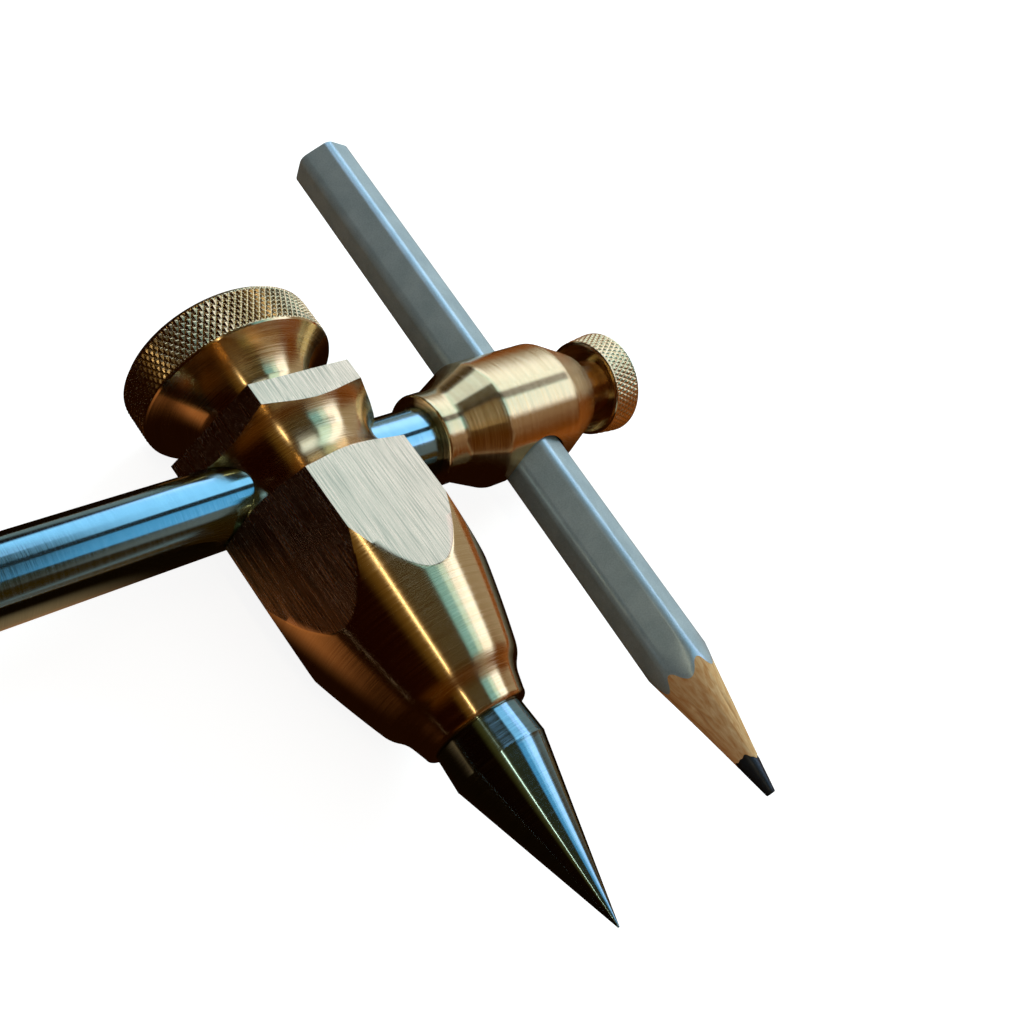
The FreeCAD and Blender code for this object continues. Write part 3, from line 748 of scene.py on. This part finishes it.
def six_sided(angle, half_flat, corner):
    """The radius of a hexagon with rounded corners, at each angle.

    A flat's radius is half flat / cos(angle from its middle). Past the flat's end it is that of the
    corner's circle, whose centre lies on the corner's line.
    """
    from_middle = (angle - PENCIL_CORNER) % (math.pi / 3) - math.pi / 6
    centre = (half_flat - corner) / math.cos(math.pi / 6)
    flat_end = math.atan2((half_flat - corner) * math.tan(math.pi / 6), half_flat)
    from_corner = math.pi / 6 - np.abs(from_middle)
    rounded = centre * np.cos(from_corner) + np.sqrt(corner ** 2 - (centre * np.sin(from_corner)) ** 2)
    return np.where(np.abs(from_middle) < flat_end, half_flat / np.cos(from_middle), rounded)


def chipped(angle):
    """How far above the lead's foot the wood starts, in millimetres: small chips of unlike depth."""
    waves = 0.42 * np.sin(2 * angle + 0.6) + 0.15 * np.sin(5 * angle) + 0.07 * np.sin(11 * angle + 1.0)
    return 0.65 + waves


def gouged(angle, share):
    """How deep the blade's shallow facets and its few deeper bites lie on the cone, in millimetres."""
    facet = np.abs((angle * 11 / (2 * math.pi) + 0.8 * share) % 1.0 - 0.5)
    bite = np.exp(-((share - 0.55) / 0.12) ** 2) * np.exp(-(((angle * 2.2) % math.pi - 1.2) / 0.25) ** 2)
    fade = np.sin(math.pi * np.clip(share, 0.0, 1.0)) ** 0.5
    return (0.045 * (1.0 - 4 * facet ** 2) + 0.16 * bite) * fade


# %% [markdown]
# A cone meets the flats of a six-sided pencil lower than its corners, so the lacquer ends in six
# scallops. The grid's rows follow the cone up to that line and then run straight to the blunt end.
# %% The pencil


def pencil_side(name, half_flat, corner, material, end, cone_rows, side_rows, cone_from=0.0, cut=False):
    """Rows up the cone to the line where it meets the sides, then rows up the sides.

    cone_from is how far up the cone the rows start, and cut adds the sharpener's chips and bites.
    """
    angle = np.linspace(0.0, 2 * math.pi, 385)
    side = six_sided(angle, half_flat, corner)
    meet = CONE_FOOT + (side - LEAD_RADIUS) / CONE_SLOPE
    foot = CONE_FOOT + chipped(angle) * cut
    share = np.linspace(cone_from, 1.0, cone_rows)[:, None]
    cone_height = foot + share * (meet - foot)
    cone_radius = LEAD_RADIUS + (cone_height - CONE_FOOT) * CONE_SLOPE - gouged(angle, share) * cut
    rise = np.linspace(0.0, 1.0, side_rows)[1:, None]
    side_height = meet + rise * (end - meet)
    side_radius = side * np.ones_like(rise)
    radius = np.concatenate([cone_radius, side_radius])
    height = np.concatenate([cone_height, side_height])
    points = np.stack([radius * np.cos(angle), radius * np.sin(angle), height], axis=-1)
    along = angle * half_flat * np.ones_like(radius)
    return add_mesh(name, points, height, along, PENCIL, material)


pencil_wood = pencil_side("pencil_wood", HALF_ACROSS - PAINT, 1.3, cedar, 24.0,
                          cone_rows=70, side_rows=2, cut=True)
pencil_skin = pencil_side("pencil_skin", HALF_ACROSS, 1.4, silver_lacquer, PENCIL_LENGTH,
                          cone_rows=3, side_rows=24, cone_from=0.93)
worn_tip = (0.56, 0.12)
lead_end = CONE_FOOT + 1.4
lead_profile = [(0.0, 0.0), (0.5, 0.0), worn_tip]
lead_profile += run(worn_tip, (LEAD_RADIUS, CONE_FOOT), (LEAD_RADIUS, lead_end), (0.0, lead_end))[1:]
lead = turned("pencil_lead", lead_profile, PENCIL, graphite, around=64)
end_profile = [(3.4, PENCIL_LENGTH - 0.001), (0.0, PENCIL_LENGTH)]
end_cap = turned("pencil_end", end_profile, PENCIL, silver_lacquer, around=96)
print("pencil faces:", faces_of(pencil_wood, pencil_skin, lead, end_cap))

# %% [markdown]
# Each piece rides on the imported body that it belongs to, and some stand for a node, which is then hidden.
# %% Bodies and nodes
for piece in (head, head_top):
    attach(piece, "head")
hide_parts("head_body")
for piece in (knob_rim, knob_bell, knob_cap):
    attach(piece, "clamp_screw")
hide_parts("clamp_knob")
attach(steel_point, "head")
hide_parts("steel_point")
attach(beam, "beam")
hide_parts("beam_rod")
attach(holder, "holder")
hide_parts("holder_body")
for piece in (thumb_rim, thumb_dish, thumb_face):
    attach(piece, "thumb_screw")
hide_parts("thumb_knob")
for piece, slot in (
    (pencil_wood, "pencil_wood"),
    (pencil_skin, "silver_lacquer"),
    (end_cap, "silver_lacquer"),
    (lead, "graphite"),
):
    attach(piece, "pencil")
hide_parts("pencil_wood")
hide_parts("pencil_lacquer")
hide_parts("pencil_lead")
stand_ins = (head, knob_bell, steel_point, beam, holder, thumb_dish, pencil_wood, pencil_skin, lead)
print("nodes that new pieces stand for:", len(stand_ins))

# %% [markdown]
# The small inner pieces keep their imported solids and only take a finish. They have no grain map, so a
# fine grit in the piece's own coordinates stands for the file and the tumbling barrel.
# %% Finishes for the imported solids
GRIT_SIZE = 0.2


def tumbled(name, light, dark, smooth, rough):
    """A small part's metal: a fine grit drives the tone and the roughness."""
    material, tree, output = new_material(name)
    place = add_node(tree, "ShaderNodeTexCoord").outputs["Object"]
    grit = add_node(tree, "ShaderNodeTexNoise", {
        "Vector": place, "Scale": 1 / (GRIT_SIZE * MM), "Detail": 3.0}).outputs["Fac"]
    tone = add_node(tree, "ShaderNodeMapRange", {
        "Value": grit, "From Min": 0.35, "From Max": 0.65}).outputs["Result"]
    colour = add_node(tree, "ShaderNodeMix", {"Factor": tone, "A": linear(dark), "B": linear(light)},
                      data_type="RGBA").outputs["Result"]
    roughness = add_node(tree, "ShaderNodeMapRange", {
        "Value": grit, "To Min": smooth, "To Max": rough}).outputs["Result"]
    shader = add_node(tree, "ShaderNodeBsdfPrincipled", {
        "Base Color": colour, "Metallic": 1.0, "Roughness": roughness})
    tree.links.new(shader.outputs["BSDF"], output.inputs["Surface"])
    return material


shoe_brass = tumbled("shoe_brass", "#f0d49c", "#dcb878", 0.25, 0.45)
# The stud steel's blue tint is painted reflection, as on the beam and the point.
stud_steel = tumbled("stud_steel", "#98bcc6", "#88acb6", 0.22, 0.40)
black_steel = tumbled("blackened_steel", "#3f4044", "#2c2d30", 0.30, 0.50)
finishes = {
    "clamp_shoe": shoe_brass,
    "thumb_shoe": shoe_brass,
    "clamp_stud": stud_steel,
    "thumb_stud": stud_steel,
    "set_screw": black_steel,
}
for node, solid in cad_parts.items():
    solid.data.materials.clear()
    solid.data.materials.append(finishes.get(node, stud_steel))
print("nodes finished:", len(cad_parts))

# %% [markdown]
# The compass lies on a white floor. Its material glows white for the camera, in mirrors and through
# glass, and also takes the lamps' light, so the compass still throws a soft shadow on it. For light that
# dull surfaces scatter it is brown, because the photograph's undersides are lit by something brown.
# %% The floor
FLOOR_HALF = 3.0
FLOOR_GLOW = 0.87
BENCH_BROWN = (0.42, 0.17, 0.03, 1.0)
WHITE = (1.0, 1.0, 1.0, 1.0)
floor_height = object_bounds()[0][2]
centre = Vector((0.0, BEAM_HEIGHT * MM, 0.0))


def stage_piece(name, mesh, material):
    """A piece of the studio, not of the compass."""
    mesh.materials.append(material)
    piece = bpy.data.objects.new(name, mesh)
    bpy.context.scene.collection.objects.link(piece)
    return piece


def square(name, half, height, material):
    """A level square sheet, half its width to each side of the origin."""
    mesh = bpy.data.meshes.new(name)
    corners = [(-half, -half, height), (half, -half, height), (half, half, height), (-half, half, height)]
    mesh.from_pydata(corners, [], [(0, 1, 2, 3)])
    return stage_piece(name, mesh, material)


def seen_directly(tree):
    """1 for what the camera sees, itself or in a mirror or through glass, and 0 for scattered light."""
    rays = add_node(tree, "ShaderNodeLightPath").outputs
    direct = add_node(tree, "ShaderNodeMath", {
        0: rays["Is Camera Ray"], 1: rays["Is Glossy Ray"]}, operation="MAXIMUM").outputs[0]
    return add_node(tree, "ShaderNodeMath", {
        0: direct, 1: rays["Is Transmission Ray"]}, operation="MAXIMUM").outputs[0]


def white_floor():
    """A floor that is white to look at and brown to light the compass from below."""
    material, tree, output = new_material("white_floor")
    direct = seen_directly(tree)
    glow = add_node(tree, "ShaderNodeMath", {0: direct, 1: FLOOR_GLOW}, operation="MULTIPLY").outputs[0]
    white = add_node(tree, "ShaderNodeEmission", {"Color": WHITE, "Strength": glow}).outputs[0]
    paint = add_node(tree, "ShaderNodeMix", {
        "Factor": direct, "A": BENCH_BROWN, "B": linear("#c8c8c6")}, data_type="RGBA").outputs["Result"]
    matt = add_node(tree, "ShaderNodeBsdfDiffuse", {"Color": paint}).outputs[0]
    both = add_node(tree, "ShaderNodeAddShader", {0: matt, 1: white}).outputs[0]
    tree.links.new(both, output.inputs["Surface"])
    return material


floor = square("floor", FLOOR_HALF, floor_height, white_floor())
print("floor at", round(floor_height * 1000, 2), "mm")

# %% [markdown]
# The world is white to look at, and dimmer as a light, so that the lamps still draw the form.
# %% The world
ROOM_LIGHT = 0.26
world = bpy.data.worlds.new("studio")
bpy.context.scene.world = world
world.use_nodes = True
strength = add_node(world.node_tree, "ShaderNodeMapRange", {
    "Value": seen_directly(world.node_tree), "To Min": ROOM_LIGHT, "To Max": 1.0}).outputs["Result"]
background = world.node_tree.nodes["Background"]
background.inputs["Color"].default_value = WHITE
world.node_tree.links.new(strength, background.inputs["Strength"])
print("the world lights the compass at", ROOM_LIGHT, "of white")

# %% [markdown]
# Polished brass shows its surroundings more than its own colour. The photograph's brass shows a dark room,
# so the studio has dark surroundings that only reflections see, in front of the white floor and world.
# These functions draw them as patches of glow with soft edges.
# %% Soft edges and glow


def smooth_step(tree, value, low, high):
    """0 below low, 1 above high and a soft edge between them."""
    return add_node(tree, "ShaderNodeMapRange", {"Value": value, "From Min": low, "From Max": high},
                    interpolation_type="SMOOTHSTEP").outputs["Result"]


def between(tree, value, low, high, soft):
    """1 between two limits, with soft edges."""
    rise = smooth_step(tree, value, low - soft, low + soft)
    fall = smooth_step(tree, value, high + soft, high - soft)
    return add_node(tree, "ShaderNodeMath", {0: rise, 1: fall}, operation="MULTIPLY").outputs[0]


def blend(tree, share, under, over):
    """One colour over another, by a share from 0 to 1."""
    return add_node(tree, "ShaderNodeMix", {
        "Factor": share, 6: under, 7: over}, data_type="RGBA").outputs[2]


def end_in_glow(material, tree, output, colour):
    """End a material in a plain glow, which no light is gathered from."""
    glow = add_node(tree, "ShaderNodeEmission", {"Color": colour, "Strength": 1.0}).outputs[0]
    tree.links.new(glow, output.inputs["Surface"])
    material.cycles.emission_sampling = "NONE"


def only_in_reflections(piece):
    """Keep a piece of the studio out of the picture and out of the light on dull surfaces."""
    piece.visible_camera = False
    piece.visible_diffuse = False
    piece.visible_shadow = False


# %% [markdown]
# The reflections tell of a dark room with a cool window on the right, so a dark tent with a window's panes
# and frame stands round the compass. Directions are told by their turn about the head's axis, in degrees
# from the beam's pencil end (0) over the top (90), and by how far they lean towards the knob (1) or the
# point (-1).
# %% The dark tent with its window
TENT_RADIUS = 0.9
WALL_EDGE = 8.0
PANE_EDGE = 2.0
LEAN_EDGE = 0.03


def tent_wall():
    """The tent's light: walls of unlike warmth, then the window's panes and its frame over them.

    Each wall is a range of turn and a colour. Each pane is a range of turn, a range of lean and a colour.
    """
    material, tree, output = new_material("tent_wall")
    place = add_node(tree, "ShaderNodeTexCoord").outputs["Object"]
    direction = add_node(tree, "ShaderNodeVectorMath", {0: place}, operation="NORMALIZE").outputs["Vector"]
    parts = add_node(tree, "ShaderNodeSeparateXYZ", {0: direction}).outputs
    lean = parts["Y"]
    radians = add_node(tree, "ShaderNodeMath", {
        0: parts["Z"], 1: parts["X"]}, operation="ARCTAN2").outputs[0]
    turn = add_node(tree, "ShaderNodeMath", {0: radians}, operation="DEGREES").outputs[0]
    dark_side = (0.008, 0.0012, 0.0002, 1.0)
    amber_left = (0.050, 0.010, 0.001, 1.0)
    amber_right = (0.22, 0.08, 0.02, 1.0)
    grey_top = (0.060, 0.048, 0.020, 1.0)
    gold_haze = (0.11, 0.065, 0.012, 1.0)
    warm_front = (0.07, 0.025, 0.002, 1.0)
    lit_wall = (0.37, 0.36, 0.33, 1.0)
    low_wall = (0.14, 0.045, 0.003, 1.0)
    sill = (0.30, 0.24, 0.20, 1.0)
    near_pane = (1.60, 1.95, 2.75, 1.0)
    far_pane = (0.82, 1.42, 1.95, 1.0)
    low_pane = (0.22, 0.66, 1.05, 1.0)
    side_pane = (1.05, 1.45, 2.05, 1.0)
    frame_bar = (0.035, 0.04, 0.04, 1.0)
    amber = blend(tree, smooth_step(tree, parts["X"], -0.3, 0.4), amber_left, amber_right)
    wall = blend(tree, smooth_step(tree, parts["Z"], -0.05, -0.45), dark_side, amber)
    wall = blend(tree, between(tree, turn, 66.0, 108.0, WALL_EDGE), wall, grey_top)
    wall = blend(tree, between(tree, turn, 108.0, 127.0, WALL_EDGE), wall, gold_haze)
    wall = blend(tree, smooth_step(tree, lean, -0.55, -0.9), wall, warm_front)
    wall = blend(tree, between(tree, turn, -25.0, 36.0, WALL_EDGE), wall, lit_wall)
    for turns, leans, colour in (
        ((-45.0, 25.0), (-0.97, -0.21), low_wall),
        ((26.0, 64.0), (-0.74, -0.46), sill),
        ((31.0, 50.0), (-0.46, 0.85), near_pane),
        ((50.0, 70.0), (-0.46, 0.85), far_pane),
        ((58.0, 72.0), (-0.50, 0.00), low_pane),
        ((74.0, 100.0), (0.42, 0.85), side_pane),
        ((41.0, 104.0), (-0.05, 0.14), frame_bar),
    ):
        pane = add_node(tree, "ShaderNodeMath", {
            0: between(tree, turn, *turns, PANE_EDGE),
            1: between(tree, lean, *leans, LEAN_EDGE),
        }, operation="MULTIPLY").outputs[0]
        wall = blend(tree, pane, wall, colour)
    end_in_glow(material, tree, output, wall)
    return material


tent_shape = bmesh.new()
bmesh.ops.create_icosphere(tent_shape, subdivisions=5, radius=TENT_RADIUS)
tent_mesh = bpy.data.meshes.new("tent")
tent_shape.to_mesh(tent_mesh)
tent_shape.free()
tent = stage_piece("tent", tent_mesh, tent_wall())
tent.location = centre
only_in_reflections(tent)
print("tent radius:", TENT_RADIUS, "m")

# %% [markdown]
# Every underside in the photograph is amber, as over a brown bench. A brown sheet lies just over the
# floor, again for reflections alone. Its glow is painted reflection, with a painted light under the beam
# and a painted shade round the head, which stands in its own shade.
# %% The brown bench
BENCH_HALF = 0.75
BENCH_LIFT = 0.00005
PAINTED_SHADE_BROWN = (0.010, 0.003, 0.0004, 1.0)
LIT_BROWN = (0.25, 0.09, 0.02, 1.0)
UNDER_BEAM = (0.42, 0.19, 0.08, 1.0)


def bench_top():
    """Painted shade, dark brown, under the head, paler from 30 to 80 mm to its right, and a painted light,
    palest, under the beam.
    """
    material, tree, output = new_material("brown_bench")
    place = add_node(tree, "ShaderNodeTexCoord").outputs["Object"]
    parts = add_node(tree, "ShaderNodeSeparateXYZ", {0: place}).outputs
    under_beam = add_node(tree, "ShaderNodeMath", {
        0: between(tree, parts["X"], -0.070, -0.020, 0.007),
        1: between(tree, parts["Y"], 0.033, 0.058, 0.010),
    }, operation="MULTIPLY").outputs[0]
    # Painted shade: dark brown round the head. Painted light: the pale glow under the beam.
    painted_shade_and_light = blend(tree, smooth_step(tree, parts["X"], 0.030, 0.080), PAINTED_SHADE_BROWN, LIT_BROWN)
    painted_shade_and_light = blend(tree, under_beam, painted_shade_and_light, UNDER_BEAM)
    end_in_glow(material, tree, output, painted_shade_and_light)
    return material


bench = square("bench", BENCH_HALF, floor_height + BENCH_LIFT, bench_top())
only_in_reflections(bench)
print("bench lies", BENCH_LIFT * 1000, "mm over the floor")

# %% [markdown]
# Two lamps: a large soft one on the window's side, which lights wood and paint and throws the shadow, and
# a thin warm strip over the left, parallel to the head, which draws the gold line down every turned face.
# %% The lamps


def lamp(name, direction, distance, width, depth, radiance, colour):
    """A rectangular lamp in a direction from the compass, turned to face it."""
    light = bpy.data.lights.new(name, "AREA")
    light.shape = "RECTANGLE"
    light.size = width
    light.size_y = depth
    light.energy = radiance * math.pi * width * depth
    light.color = colour
    piece = bpy.data.objects.new(name, light)
    towards = Vector(direction).normalized()
    piece.location = centre + towards * distance
    piece.rotation_euler = towards.to_track_quat("Z", "Y").to_euler()
    piece.visible_camera = False
    bpy.context.scene.collection.objects.link(piece)
    return piece


LAMP_DISTANCE = 0.60
STRIP_TURN = math.radians(112.0)
STRIP_SHIFT = 0.24
soft_lamp = lamp("soft_lamp", (0.85, 0.30, 0.50), LAMP_DISTANCE, 0.40, 0.40, 6.4, (0.72, 0.92, 1.0))
soft_lamp.visible_glossy = False
strip_direction = (math.cos(STRIP_TURN), 0.0, math.sin(STRIP_TURN))
strip = lamp("strip", strip_direction, LAMP_DISTANCE, 0.50, 0.010, 12.0, (1.0, 0.86, 0.60))
strip.location.y -= STRIP_SHIFT
print("lamps, in watts:", round(soft_lamp.data.energy, 2), "and", round(strip.data.energy, 3))

# %% [markdown]
# The camera stands close, over the head's left, and it is rolled. Its place was fitted to the photograph
# by two axes that cross and by circles of known size.
# %% The camera
camera_data = bpy.data.cameras.new("camera")
camera = bpy.data.objects.new("camera", camera_data)
bpy.context.scene.collection.objects.link(camera)
bpy.context.scene.camera = camera
camera_data.sensor_width = 36.0
camera_data.lens = 41.22
camera_data.shift_x = -0.0420
camera_data.shift_y = -0.0215
camera_data.clip_start = 0.005
stands = Vector((-0.06182, 0.00178, 0.09127))
looks_at = Vector((0.02704, 0.04114, 0.0))
ROLL = math.radians(34.95)
back = (stands - looks_at).normalized()
level = back.to_track_quat("Z", "Y").to_matrix().to_4x4()
camera.matrix_world = Matrix.Translation(stands) @ level @ Matrix.Rotation(ROLL, 4, "Z")
bpy.context.scene.view_settings.view_transform = "Standard"
print("camera is", round((stands - looks_at).length * 1000), "mm from what it looks at")
